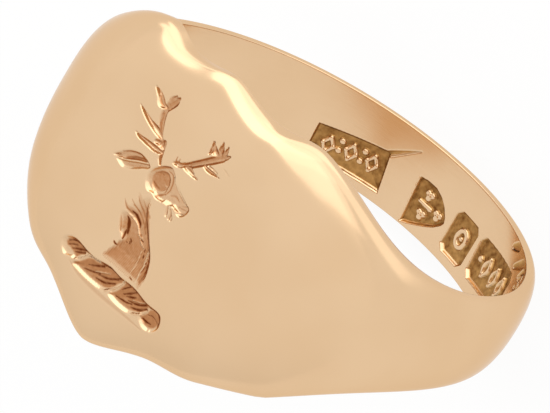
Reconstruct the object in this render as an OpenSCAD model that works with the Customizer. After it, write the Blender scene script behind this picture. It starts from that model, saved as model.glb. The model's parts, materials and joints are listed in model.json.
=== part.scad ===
// Signet ring with a flat engraved table, notched long edges, wide shoulders and a
// D-section shank struck with marks inside. Millimetres. The origin is the centre of the
// finger hole, the finger passes along Y and the table faces +Z. Angles run round the
// finger from the middle of the table (0 degrees) towards +X; 180 degrees is the back.

/* [Finger] */
// Inside diameter of the ring
finger_d = 18.8; // [14:0.1:23]

/* [Table] */
// Width of the table along the finger, twice the reach of the upper middle bump
table_w = 12.4; // [9:0.1:16]
// How much further the lower edge swings: out at the middle, in beside the notches
foot_wave = 0.5; // [0:0.05:0.8]
// Metal between the finger hole and the middle of the flat table
table_t = 1.25; // [1:0.05:1.6]
// How far the notches bite into each long edge
notch_depth = 0.45; // [0:0.05:1]
// Angle from the middle of the table to each notch
notch_angle = 15; // [11:0.5:20]
// Angle over which a notch runs out towards the shoulder
notch_run_out = 14.5; // [8:0.5:16]
// Thickness of the thin rim round the table, beside the finger hole
table_rim_t = 0.3; // [0.2:0.05:0.8]

/* [Shoulders] */
// Metal thickness where the table rolls over into the shoulder
shoulder_t = 1.9; // [1.5:0.05:2.8]
// Angle at which the width has fallen half way from table to shank
width_fall_angle = 49.5; // [42:0.5:58]
// How suddenly the width falls; higher is more sudden
width_fall_power = 4.3; // [3:0.05:5]
// Angle at which the thickness has fallen half way from shoulder to shank
thick_fall_angle = 65; // [55:1:80]
// How suddenly the thickness falls
thick_fall_power = 6.5; // [3:0.1:8]

/* [Shank] */
// Width of the shank at the back
shank_w = 3.8; // [2.4:0.1:6]
// Thickness of the shank at its crown
shank_t = 0.8; // [0.6:0.05:1.4]
// Thickness of the shank's thin edges
shank_rim_t = 0.25; // [0.15:0.05:0.5]

/* [Solder seams] */
// Angle from the middle of the table to each soldered joint
seam_angle = 78; // [72:1:90]
// Thickness of each solder seam at the finger hole
seam_t = 0.15; // [0.08:0.01:0.3]

/* [Engraving] */
// Height of the crest cut into the table
crest_h = 8.5; // [5:0.1:9]
// Depth of its hollows and of its widest strokes
crest_depth = 0.2; // [0.1:0.01:0.3]
// Depth of the cheek and of the strands of the wreath
deep_cut = 0.3; // [0.2:0.01:0.4]
// Depth of the marks struck into the finger hole
mark_depth = 0.17; // [0.1:0.01:0.25]

/* [Hidden] */

gold = [0.89, 0.74, 0.58];
solder = [0.86, 0.73, 0.60];

finger_r = finger_d / 2;
// The blank behind the finger hole's surface, which the bore takes away
blank_depth = 1;
// Fullness of the section: nearly flat with rolled edges at the middle of the table,
// more bevelled at the notches, and a D on the shank
table_crown = 5.5;
shank_crown = 2.2;
crown_fall_angle = 30;
crown_fall_power = 3;
// Sharpness of the roll from the table to the shoulder
roll_power = 40;
// How sharply the waved edge leaves its middle bump, and how many run-outs its foot spans
bump_power = 0.8;
foot_span = 1.5;
// Least cosine used for the flat table, which has turned away long before it
min_cos = 0.2;
// Points over the crown of one section, and sections round the whole ring
crown_points = 22;
sections = 140;
section_step = 360 / sections;
// The last section before a soldered joint
joint_section = floor(seam_angle / section_step);
// Longer than the ring in every direction
reach = finger_d + table_w;

// 1 at the table, 1/2 at the middle angle, 0 at the back
function fall(a, middle, power) = 1 / (1 + pow(abs(a) / middle, power));

// The waved edge: no cut at the middle bump, the full cut at the notch, and none again
// where the notch has run out
function notch(a) =
    let (bump = pow(min(abs(a) / notch_angle, 1), bump_power),
         past = min(max((abs(a) - notch_angle) / notch_run_out, 0), 1))
    notch_depth * pow(sin(90 * (bump + past)), 2);

// The lower edge swings out at the middle and in past the notches, then joins the shoulder
wave_end = notch_angle + notch_run_out;
function foot(a) = abs(a) < foot_span * wave_end ? foot_wave * cos(180 * a / wave_end) : 0;

// Reach along the finger on one side: side is 1 towards +Y and -1 towards -Y
function half_width(a, side) =
    (shank_w + (table_w - shank_w) * fall(a, width_fall_angle, width_fall_power)) / 2
    - notch(a) + (side < 0 ? foot(a) : 0);

// Radius of the rounded shoulder and shank, and of the flat table, which only reaches
// round to where its plane turns away
function hoop_r(a) =
    finger_r + shank_t + (shoulder_t - shank_t) * fall(a, thick_fall_angle, thick_fall_power);
function table_r(a) = (finger_r + table_t) / max(cos(a), min_cos);
function crown_r(a) =
    pow(pow(hoop_r(a), -roll_power) + pow(table_r(a), -roll_power), -1 / roll_power);

function rim_r(a) =
    finger_r + shank_rim_t
    + (table_rim_t - shank_rim_t) * fall(a, width_fall_angle, width_fall_power);

function crown_shape(a) =
    shank_crown + (table_crown - shank_crown) * fall(a, crown_fall_angle, crown_fall_power);

// Place of a point at radius r, y along the finger and angle a round it
function round_finger(a, y, r) = [r * sin(a), y, r * cos(a)];

// One section, from the +Y rim over the crown to the -Y rim and back inside the bore.
// Height over the rims is h * sqrt(1 - |u| ^ p), where u runs from 1 at the +Y rim to -1.
function section(turn_angle) =
    let (a = turn_angle > 180 ? turn_angle - 360 : turn_angle,
         rim = rim_r(a), h = crown_r(a) - rim, p = crown_shape(a),
         upper = half_width(a, 1), lower = half_width(a, -1), inner = finger_r - blank_depth)
    concat(
        [for (k = [0 : crown_points])
            let (turn = 180 * k / crown_points,
                 u = sign(cos(turn)) * pow(abs(cos(turn)), 2 / p),
                 reach_y = u > 0 ? upper : lower)
            round_finger(a, reach_y * u, rim + h * sqrt(max(0, 1 - pow(abs(u), p))))],
        [round_finger(a, -lower, inner), round_finger(a, upper, inner)]);

// A closed length of the ring's blank, from one numbered section to another
module blank(first, last) {
    steps = last - first;
    ring = crown_points + 3;
    points = [for (i = [first : last]) each section(i * section_step)];
    sides = [for (i = [0 : steps - 1], j = [0 : ring - 1])
        let (a = i * ring + j, b = i * ring + (j + 1) % ring)
        each [[a, b + ring, b], [a, a + ring, b + ring]]];
    near_end = [for (j = [0 : ring - 1]) j];
    far_end = [for (j = [ring - 1 : -1 : 0]) steps * ring + j];
    polyhedron(points, concat(sides, [near_end, far_end]));
}

// All the space from one distance to another past the plane of a soldered joint
module past_joint(angle, from, to) {
    rotate([0, angle, 0])
        translate([from, -table_w, 0])
            cube([to - from, 2 * table_w, reach]);
}

// The finger hole, a true round bore through every piece
module finger_hole() {
    rotate([90, 0, 0]) cylinder(h = 2 * table_w, r = finger_r, center = true, $fn = 180);
}

// Height of the table over a place on it
function table_z(x, y) =
    let (a = atan2(x, finger_r + table_t), u = y / half_width(a, sign(y)),
         rim = rim_r(a), h = crown_r(a) - rim)
    cos(a) * (rim + h * sqrt(1 - pow(abs(u), crown_shape(a))));

// The crest is drawn 8.5 mm high, upright along Y, and scaled to its size
drawn_h = 8.5;
// A graver's cut starts this far over the table, and a hollow starts this share of its
// depth over it, so that no two cutters start level
graver_lift = 0.1;
hollow_lift = 0.25;
// Half width at which a graver is at its full depth, and its floor's share of its width
graver_w = 0.12;
graver_floor = 0.4;
// Width of a hollow's sloping wall
hollow_wall = 0.1;

// One tapered cut of the graver along [x, y, half width] stations
module graver_cut(stations) {
    n = len(stations);
    k = crest_h / drawn_h;
    points = [for (i = [0 : n - 1])
        let (s = stations[i] * k, z = table_z(s[0], s[1]),
             run = stations[min(i + 1, n - 1)] - stations[max(i - 1, 0)],
             across = [-run[1], run[0], 0] / norm([run[0], run[1]]),
             depth = crest_depth * min(1, s[2] / graver_w / k),
             top = s[2] * (1 + graver_lift / depth), foot = s[2] * graver_floor)
        each [for (p = [[-top, graver_lift], [-foot, -depth], [foot, -depth],
                       [top, graver_lift]])
            [s[0], s[1], z] + p[0] * across + [0, 0, p[1]]]];
    sides = [for (i = [0 : n - 2], j = [0 : 3])
        let (a = 4 * i + j, b = 4 * i + (j + 1) % 4)
        each [[a, b + 4, b], [a, a + 4, b + 4]]];
    last = 4 * n - 4;
    polyhedron(points, concat(sides, [[0, 1, 2, 3], [last + 3, last + 2, last + 1, last]]));
}

// Unit vector square to the way from one place to the next, on its left
function left_of(from, to) = [from[1] - to[1], to[0] - from[0]] / norm(to - from);

// A hollow with a flat floor and sloping walls, from an anticlockwise outline
module hollow(outline, depth) {
    n = len(outline);
    k = crest_h / drawn_h;
    middle = k * [for (i = [0, 1]) (max([for (p = outline) p[i]])
                                    + min([for (p = outline) p[i]])) / 2];
    z = table_z(middle[0], middle[1]);
    points = [for (i = [0 : n - 1])
        let (p = outline[i] * k,
             before = left_of(outline[(i + n - 1) % n], outline[i]),
             after = left_of(outline[i], outline[(i + 1) % n]),
             inward = (before + after) / (1 + before * after),
             low = p + hollow_wall * inward, high = p - hollow_wall * hollow_lift * inward)
        each [[high[0], high[1], z + hollow_lift * depth], [low[0], low[1], z - depth]]];
    walls = [for (i = [0 : n - 1])
        let (a = 2 * i, b = 2 * ((i + 1) % n))
        each [[a, b, a + 1], [b, b + 1, a + 1]]];
    lid = [for (i = [n - 1 : -1 : 0]) 2 * i];
    base = [for (i = [0 : n - 1]) 2 * i + 1];
    polyhedron(points, concat(walls, [lid, base]));
}

// Head in profile towards +X: cheek and muzzle, with a ridge left between them; ear and neck
cheek = [[-0.74, 1.05], [-0.58, 0.56], [-0.2, 0.43], [0.2, 0.5], [0.33, 0.9], [0.3, 1.35],
         [0.1, 1.83], [-0.2, 1.7], [-0.47, 1.5]];
muzzle = [[0.36, 0.54], [0.8, 0.5], [1.0, 0.6], [1.48, 0.46], [1.76, 0.86], [1.72, 1.04],
          [1.09, 1.3], [0.64, 1.5], [0.4, 1.6], [0.46, 1.0]];
ear = [[-2.6, 0.6], [-1.95, 0.42], [-1.6, 0.55], [-1.1, 0.92], [-0.79, 1.24], [-1.2, 1.43],
       [-1.82, 1.33], [-2.38, 0.9]];
neck = [[0, 0.26], [-0.35, -0.45], [-0.6, -1.3], [-0.3, -1.9], [-0.45, -2.3], [-0.65, -2.97],
        [1.05, -2.96], [1.5, -3.08], [1.59, -2.5], [1.36, -1.75], [0.85, -1.1],
        [0.5, -0.7], [0.2, -0.36]];
locks = [
    [[0.45, -1, 0.12], [0, -0.62, 0.17], [-0.35, -0.25, 0.12], [-0.62, 0.05, 0.05]],
    [[0.3, -0.8, 0.1], [-0.05, -0.3, 0.12], [-0.35, 0.15, 0.04]],
    [[0.3, -1.15, 0.12], [-0.15, -0.88, 0.16], [-0.55, -0.7, 0.12], [-0.95, -0.52, 0.04]],
    [[-0.15, -1.9, 0.1], [-0.4, -1.5, 0.17], [-0.68, -1.15, 0.14], [-0.92, -0.85, 0.04]],
    [[0.8, 0.55, 0.05], [0.88, 0.3, 0.08], [0.95, 0.13, 0.05]],
    [[1.03, 0.5, 0.05], [1.1, 0.28, 0.08], [1.12, 0.1, 0.05]]];
// Beam first, then the tines from the lowest up
left_antler = [
    [[-0.47, 1.66, 0.07], [-0.64, 1.95, 0.1], [-0.8, 2.25, 0.12], [-1.25, 2.8, 0.15],
     [-1.5, 3.4, 0.17], [-1.42, 3.9, 0.19], [-1.22, 4.3, 0.05]],
    [[-0.62, 2.02, 0.06], [-1.1, 1.98, 0.15], [-1.6, 1.95, 0.12], [-2.22, 1.98, 0.02]],
    [[-0.7, 2.26, 0.08], [-0.97, 2.28, 0.18], [-1.22, 2.22, 0.06]],
    [[-1.08, 2.5, 0.06], [-1.4, 2.62, 0.17], [-1.85, 2.7, 0.13], [-2.66, 2.98, 0.02]],
    [[-1.45, 3.6, 0.08], [-1.9, 3.68, 0.19], [-2.45, 4.02, 0.04]]];
right_antler = [
    [[0.04, 2.08, 0.05], [0.3, 2.16, 0.13], [0.75, 2.48, 0.14], [1.15, 2.88, 0.16],
     [1.82, 3.58, 0.18], [2.12, 3.92, 0.03]],
    [[0.5, 2.25, 0.05], [0.85, 2.26, 0.12], [1.36, 2.21, 0.03]],
    [[1.2, 2.85, 0.05], [1.6, 2.83, 0.1], [2.2, 2.9, 0.02]],
    [[1.8, 3.45, 0.08], [1.45, 3.6, 0.17], [1.12, 3.92, 0.03]],
    [[1.72, 3.5, 0.1], [1.62, 3.85, 0.15], [1.55, 4.17, 0.04]],
    [[1.82, 3.5, 0.1], [1.86, 3.85, 0.12], [1.86, 4.17, 0.03]]];

// Strands of the twisted wreath under the head, each leaning over the next
strands = [
    [[-2.6, -3.95], [-2.35, -4.14], [-2.12, -4.1], [-1.7, -3.7], [-1.5, -3.42], [-2, -3.28],
     [-2.4, -3.33], [-2.64, -3.6]],
    [[-1.75, -4.1], [-1.45, -4.24], [-0.4, -4.22], [0.08, -4.12], [0.58, -3.65],
     [0.7, -3.38], [0.5, -3.2], [0.1, -3.16], [-0.4, -3.2], [-1.25, -3.48], [-1.58, -3.8]],
    [[0.38, -4.1], [0.65, -4.22], [1.1, -4.24], [1.6, -4.16], [1.95, -3.98], [2.4, -3.5],
     [2.3, -3.3], [1.4, -3.16], [1.02, -3.26], [0.85, -3.55]],
    [[2.12, -4], [2.5, -4.24], [2.85, -4.18], [3.08, -3.98], [3.14, -3.7], [3.02, -3.38],
     [2.78, -3.26], [2.6, -3.4], [2.34, -3.74]]];

// Crest: a stag's head torn off at the neck, over its wreath
module crest() {
    for (part = [muzzle, ear, neck]) hollow(part, crest_depth);
    for (part = concat([cheek], strands)) hollow(part, deep_cut);
    for (cut = concat(locks, left_antler, right_antler)) graver_cut(cut);
}

// Outlines of the marks, in mm round the bore and along the finger, seen from the hole
function cut_corners(x, y, half_x, half_y, corner) =
    [for (q = [[-1, 1], [1, 1], [1, -1], [-1, -1]], first = [0, 1])
        let (turned = (q[0] * q[1] > 0) == (first == 1))
        [x + q[0] * (half_x - (turned ? 0 : corner)), y + q[1] * (half_y - (turned ? corner : 0))]];
marks = [
    [[-5.9, -0.15], [-2.6, 0.42], [-2.22, -1.45], [-5.85, -1.62]],
    [[-0.96, 0.38], [-0.25, 0.46], [0.42, 0.27], [0.8, 0], [1.18, -0.54], [0.8, -1],
     [0, -1.48], [-0.76, -1.78]],
    cut_corners(2.34, -0.49, 0.84, 1.02, 0.26),
    cut_corners(5.5, -0.28, 2, 1, 0.3)];

// Marks struck into the finger hole behind the finger, down to a round floor
module struck_marks() {
    intersection() {
        rotate([90, 0, 0])
            cylinder(h = 2 * table_w, r = finger_r + mark_depth, center = true, $fn = 180);
        for (outline = marks) {
            low = min([for (p = outline) p[0]]);
            high = max([for (p = outline) p[0]]);
            middle = (low + high) / 2;
            rotate([0, 180 - middle / finger_r * 180 / PI, 0])
                translate([0, 0, finger_r - blank_depth])
                    linear_extrude(reach)
                        polygon([for (p = outline) [middle - p[0], p[1]]]);
        }
    }
}

// Table and both shoulders, one struck piece
module signet_head() {
    color(gold) difference() {
        difference() {
            blank(-joint_section - 2, joint_section + 2);
            past_joint(seam_angle, -seam_t / 2, reach);
            past_joint(-seam_angle, -reach, seam_t / 2);
        }
        finger_hole();
        crest();
    }
}

// The narrow hoop behind the finger
module shank() {
    color(gold) difference() {
        difference() {
            blank(joint_section - 1, sections - joint_section + 1);
            past_joint(seam_angle, -reach, seam_t / 2);
            past_joint(-seam_angle, -seam_t / 2, reach);
        }
        finger_hole();
        struck_marks();
    }
}

// Solder in the joint on the +X side
module solder_seam_right() {
    color(solder) difference() {
        intersection() {
            blank(joint_section - 1, joint_section + 2);
            past_joint(seam_angle, -seam_t / 2, seam_t / 2);
        }
        finger_hole();
    }
}

// Solder in the joint on the -X side
module solder_seam_left() {
    mirror([1, 0, 0]) solder_seam_right();
}

signet_head();
shank();
solder_seam_left();
solder_seam_right();
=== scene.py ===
"""Signet ring in polished 9 ct rose gold, with a seal-engraved crest and punched marks.

The metal is two soldered pieces, the struck head and the shank, and the two solder seams.
Sizes are in millimetres, put into Blender's metres by MM, and the listed curves are in
hundredths of a millimetre. Angles are in degrees round the finger from the table's middle.
Axes: +Z out through the table, +Y along the finger with the crest upright, +X across it.
"""

import json

import bpy
import numpy as np
from bpy.props import FloatProperty, FloatVectorProperty, PointerProperty
from mathutils import Matrix, Vector


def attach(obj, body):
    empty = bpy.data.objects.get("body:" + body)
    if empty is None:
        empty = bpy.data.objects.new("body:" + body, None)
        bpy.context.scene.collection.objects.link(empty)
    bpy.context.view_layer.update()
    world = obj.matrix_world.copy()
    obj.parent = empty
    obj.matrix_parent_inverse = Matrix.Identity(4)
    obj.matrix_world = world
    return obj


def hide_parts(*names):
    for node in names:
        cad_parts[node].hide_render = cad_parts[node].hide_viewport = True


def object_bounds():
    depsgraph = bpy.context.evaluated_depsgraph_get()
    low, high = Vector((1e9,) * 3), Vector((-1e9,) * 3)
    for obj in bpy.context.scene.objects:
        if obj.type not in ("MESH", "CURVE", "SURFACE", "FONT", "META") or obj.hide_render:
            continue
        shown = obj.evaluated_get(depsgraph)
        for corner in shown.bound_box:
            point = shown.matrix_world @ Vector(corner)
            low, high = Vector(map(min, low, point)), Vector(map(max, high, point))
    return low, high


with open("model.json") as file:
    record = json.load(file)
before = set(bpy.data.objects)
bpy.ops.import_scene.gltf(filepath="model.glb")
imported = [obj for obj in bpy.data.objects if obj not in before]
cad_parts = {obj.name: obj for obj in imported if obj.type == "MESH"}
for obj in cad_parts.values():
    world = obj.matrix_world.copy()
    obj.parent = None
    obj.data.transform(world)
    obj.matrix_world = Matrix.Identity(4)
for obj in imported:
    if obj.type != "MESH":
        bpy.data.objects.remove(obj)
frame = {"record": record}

bl_info = {
    "name": "Signet Ring",
    "version": (1, 0, 0),
    "blender": (4, 5, 0),
    "location": "3D View > Sidebar > Signet Ring",
    "description": "Builds an engraved signet ring and its studio",
    "category": "Add Mesh",
}

MM = 0.001
CAD_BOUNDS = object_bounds()
FINGER_R = frame["record"]["mounts"][0]["dims"]["r_mm"]
BODY = "root"


# ---------------------------------------------------------------- colours

def srgb(code):
    """Linear red, green and blue of an sRGB hex colour: a short straight part near black,
    then the power 2.4."""
    part = np.array([int(code[i:i + 2], 16) for i in (1, 3, 5)]) / 255
    linear = np.where(part <= 0.04045, part / 12.92, ((part + 0.055) / 1.055) ** 2.4)
    return tuple(float(v) for v in linear)


def rgba(colour):
    """A colour with full alpha."""
    return (*colour, 1.0)


# ---------------------------------------------------------------- settings

def size_value(name, description, default, low=0.0, high=50.0):
    """A size, angle, power or strength that the user can change."""
    return FloatProperty(name=name, description=description, default=default,
                         min=low, max=high, precision=2)


def colour_value(name, description, code):
    """A colour that the user can change."""
    return FloatVectorProperty(name=name, description=description, subtype="COLOR",
                               size=3, min=0, max=1, default=srgb(code))


class RingSizes(bpy.types.PropertyGroup):
    """Sizes of the metal, in millimetres and degrees round the finger."""

    finger_r: size_value("Finger radius", "Inside radius of the ring, mm", FINGER_R, 7, 13)
    table_w: size_value("Table width", "Widest part of the head along the finger, mm", 12.4)
    table_t: size_value("Table thickness", "Metal between finger and table, mm", 1.25)
    table_rim_t: size_value("Table rim", "Metal left at the table's edge, mm", 0.3)
    notch_depth: size_value("Notch depth", "How far the edge dips beside its bump, mm", 0.45)
    notch_angle: size_value("Notch angle", "Angle of the notch from the middle", 15.0)
    notch_run_out: size_value("Notch run-out", "Angle over which it fades", 14.5)
    notch_edge: size_value("Notch edge", "How much tighter the edge turns in a notch", 1.4)
    worn_flat: size_value("Worn flat", "Share of the roll that has worn upright", 0.42)
    foot_wave: size_value("Foot wave", "Extra wave of the lower edge, mm", 0.5)
    shoulder_t: size_value("Shoulder thickness", "Metal of the rounded shoulder, mm", 1.9)
    width_fall_angle: size_value("Width fall", "Angle where half the width is lost", 49.5)
    width_fall_power: size_value("Width fall power", "How sharply it narrows", 4.3)
    thick_fall_angle: size_value("Thickness fall", "Angle where half is lost", 65.0, 0, 90)
    thick_fall_power: size_value("Thickness fall power", "How sharply it thins", 6.5)
    shank_w: size_value("Shank width", "Width behind the finger, mm", 3.8)
    shank_t: size_value("Shank thickness", "Thickness behind the finger, mm", 0.8)
    shank_rim_t: size_value("Shank rim", "Thickness of the shank's edge, mm", 0.25)
    table_crown: size_value("Table crown", "Squareness of the section at the table", 5.5)
    shank_crown: size_value("Shank crown", "Squareness of the section at the shank", 2.2)
    crown_fall_angle: size_value("Crown fall", "Angle where the section changes", 30.0)
    crown_fall_power: size_value("Crown fall power", "How sharply it changes", 3.0)
    roll_power: size_value("Roll power", "How tightly the table turns into the shoulder", 40.0)
    seam_angle: size_value("Seam angle", "Angle of the solder seams from the table", 78.0, 0, 90)
    seam_t: size_value("Seam thickness", "Width of a solder seam, mm", 0.15)
    edge_round: size_value("Edge rounding", "Polished round at the finger hole, mm", 0.05)


class EngravingSizes(bpy.types.PropertyGroup):
    """Sizes of the cuts."""

    crest_depth: size_value("Crest depth", "Scale of the crest's depth", 1.0, 0, 2)
    punch_depth: size_value("Punch depth", "Depth of the struck marks, mm", 0.17, 0, 0.3)
    cell: size_value("Cell", "Side of one mesh cell under the cuts, mm", 0.033, 0.02, 0.2)


class RingFinish(bpy.types.PropertyGroup):
    """Colours and polish of the gold."""

    gold: colour_value("Rose gold", "Polished 9 ct rose gold", "#E5C39C")
    gold_shade: colour_value("Rose gold, redder", "Redder cloud in the gold", "#E2BF97")
    # The two cut colours are painted shade: the engraved cuts are coloured darker, deepest at their
    # floors, for the shade that falls in them.
    cut_gold: colour_value("Cut gold", "Matt gold left by the graver", "#BE8457")
    cut_dark: colour_value("Cut gold, tarnished", "Tarnish at the bottom of the cuts", "#6E3414")
    # The two punch colours make the struck fields darker towards their floors; their lower walls
    # are left lighter as a painted highlight.
    punch_ground: colour_value("Punch ground", "Tarnish in the struck marks", "#C89B5E")
    punch_dark: colour_value("Punch ground, dark", "Dirt in the marks' corners", "#7C5226")
    edge: colour_value("Grazing tint", "Tint of the gold seen along its surface", "#F3E6D6")
    solder: colour_value("Gold solder", "Hard 9 ct solder, polished flush", "#E2C29B")
    polish: size_value("Polish roughness", "Roughness of the polished metal", 0.17, 0.02, 1)


class StudioSettings(bpy.types.PropertyGroup):
    """Camera, lamps and backdrop."""

    camera_place: FloatVectorProperty(
        name="Camera place", description="Camera position, mm", size=3,
        default=(127.09, 98.88, 226.94))
    camera_aim: FloatVectorProperty(
        name="Camera aim", description="Point the camera looks at, mm", size=3,
        default=(-0.601, -0.753, 0.671))
    camera_roll: size_value("Camera roll", "Turn about the line of sight, from +Y upright",
                            30.744, -180, 180)
    lens: size_value("Lens", "Focal length, mm", 444.61, 1, 5000)
    sensor: size_value("Sensor", "Sensor width, mm", 36, 1, 100)
    tent_light: size_value("Tent light", "Strength of the white tent", 1)
    lamp_light: size_value("Soft boxes", "Brightness of the soft boxes on the +Y side", 0.9)
    floor_size: size_value("Floor size", "Side of the floor, mm", 2400, 100, 10000)


# ---------------------------------------------------------------- the ring's form

NOTCH_BEND = 0.8        # power that starts the dip nearer the middle
FOOT_REACH = 1.5        # the lower edge's extra wave ends at this many notch lengths
LEAST_COS = 0.2         # keeps the flat table's radius finite behind the finger
WORN_FLATS = ((-3, 4, 0.4), (18, 4, 1.0))   # middle and spread in degrees, share of the wear
FLAT_SHARE = 0.8        # part of the half width that carries even rows
END_ROWS = 16           # rows over each rolled edge
WALL_ROWS = 3           # rows down each side edge
ROUND_ROWS = 5          # rows in the round at the finger hole
SHANK_ROWS = 16         # even rows over the shank's crown
SEAM_ROWS = 20          # even rows over a seam's crown
SEAM_COLUMNS = 4        # sections along a seam
PLAIN_ROWS = 8          # rows across a bore without marks


def fall(a, middle, power):
    """1 at the table, dropping to 0 behind the finger and a half at the middle angle:
    one over one plus (angle / middle) to the power."""
    return 1 / (1 + (np.abs(a) / middle) ** power)


def notch(a, s):
    """Dip of the long edge: a sine squared bump over a bent angle, that is 0 at the middle,
    full at the notch angle and 0 again after the run-out."""
    a = np.abs(a)
    rise = np.minimum(a / s.notch_angle, 1) ** NOTCH_BEND
    past = np.clip((a - s.notch_angle) / s.notch_run_out, 0, 1)
    return s.notch_depth * np.sin(np.radians(90 * (rise + past))) ** 2


def foot(a, s):
    """Extra wave of the lower edge: a cosine, cut off where it is 0 for the second time."""
    end = s.notch_angle + s.notch_run_out
    wave = s.foot_wave * np.cos(np.radians(180 * a / end))
    return np.where(np.abs(a) < FOOT_REACH * end, wave, 0)


def half_width(a, side, s):
    """Half the metal's width at an angle, on the +Y side (side 1) or the -Y side (-1): from
    the shank's to the table's by the fall, less the notch, plus the lower edge's wave."""
    plain = (s.shank_w + (s.table_w - s.shank_w)
             * fall(a, s.width_fall_angle, s.width_fall_power)) / 2
    return plain - notch(a, s) + np.where(side < 0, foot(a, s), 0)


def crown_r(a, s):
    """Radius of the section's top: a power mean of the rounded hoop and the flat table,
    which always keeps just inside the smaller."""
    hoop = s.finger_r + s.shank_t + (s.shoulder_t - s.shank_t) * fall(
        a, s.thick_fall_angle, s.thick_fall_power)
    table = (s.finger_r + s.table_t) / np.maximum(np.cos(np.radians(a)), LEAST_COS)
    return (hoop ** -s.roll_power + table ** -s.roll_power) ** (-1 / s.roll_power)


def rim_r(a, s):
    """Radius of the section's side edges: from the shank's to the table's by the fall."""
    return s.finger_r + s.shank_rim_t + (s.table_rim_t - s.shank_rim_t) * fall(
        a, s.width_fall_angle, s.width_fall_power)


def crown_power(a, s):
    """Power of the section's curve: high is a flat table with rolled edges, 2 an ellipse."""
    return s.shank_crown + (s.table_crown - s.shank_crown) * fall(
        a, s.crown_fall_angle, s.crown_fall_power)


def ring_points(angles, crown_rows, bore_rows, s, crown_cut=None, bore_cut=None):
    """Points of the metal on a grid of section rows by angle columns, (rows, columns, 3) in
    mm, and the darkening of the cuts at each, 0 to 1, which is painted shade in the crest.

    Height of the crown over the rims is h * sqrt(1 - |u| ** p) for u from 1 at the +Y edge
    to -1. Then come the side edge, a quarter round, the bore from -Y to +Y, a quarter round
    and the other side edge. A cut is a function of places on the crown, or round and along
    the bore, that gives a Cutting: its depth goes into the metal.
    """
    a = (np.asarray(angles) + 180) % 360 - 180
    low_rim, top = rim_r(a, s), crown_r(a, s)
    # The +Y edge has worn to an upright flat in two places, either side of its middle bump.
    wear = sum(share * np.exp(-((a - middle) / spread) ** 2)
               for middle, spread, share in WORN_FLATS)
    up_rim = low_rim + s.worn_flat * (top - low_rim) * wear
    wide_up, wide_low = half_width(a, 1, s), half_width(a, -1, s)
    # That edge is rolled wide at its bumps and stays tight in its notches.
    power_low = crown_power(a, s)
    power_up = power_low * (1 + s.notch_edge * notch(a, s) / s.notch_depth)

    edges = []
    for power in (power_up, power_low):
        last_turn = np.arccos(FLAT_SHARE ** (power / 2))
        turn = np.linspace(0, 1, END_ROWS, endpoint=False)[:, None] * last_turn
        edges.append(np.cos(turn) ** (2 / power))
    flat = np.linspace(FLAT_SHARE, -FLAT_SHARE, crown_rows)[:, None] + 0 * a
    u = np.vstack([edges[0], flat, -edges[1][::-1]])
    p = np.where(u > 0, power_up, power_low)
    y = u * np.where(u > 0, wide_up, wide_low)
    rim = np.where(u > 0, up_rim, low_rim)
    r = rim + (top - rim) * np.sqrt(np.maximum(0, 1 - np.abs(u) ** p))
    crown_dark = bore_dark = 0
    if crown_cut is not None:
        cuts = crown_cut(r * np.sin(np.radians(a)), y)
        r, crown_dark = r - cuts.grid(cuts.depth), cuts.grid(cuts.dark)

    e = s.edge_round
    down = np.linspace(0, 1, WALL_ROWS + 2)[1:-1, None]
    wall_low, wall_up = (edge + down * (s.finger_r + e - edge) for edge in (low_rim, up_rim))
    turn = np.radians(np.linspace(0, 90, ROUND_ROWS))[:, None]
    round_y, round_r = e * (1 - np.cos(turn)), s.finger_r + e * (1 - np.sin(turn))
    bore_u = np.linspace(-1, 1, bore_rows + 2)[1:-1, None]
    bore_y = (bore_u + 1) / 2 * (wide_up + wide_low - 2 * e) - (wide_low - e)
    bore_r = s.finger_r
    if bore_cut is not None:
        cuts = bore_cut(np.radians(180 - np.asarray(angles)) * s.finger_r, bore_y)
        bore_r, bore_dark = bore_r + cuts.grid(cuts.depth), cuts.grid(cuts.dark)
    bands = [(y, r, crown_dark), (-wide_low, wall_low, 0), (-wide_low + round_y, round_r, 0),
             (bore_y, bore_r, bore_dark), ((wide_up - round_y)[::-1], round_r[::-1], 0),
             (wide_up, wall_up[::-1], 0)]
    whole = zip(*(np.broadcast_arrays(*band) for band in bands))
    y, r, dark = (np.vstack(rows) for rows in whole)
    angle = np.radians(a)
    return np.stack([r * np.sin(angle), y, r * np.cos(angle)], -1), dark


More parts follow.
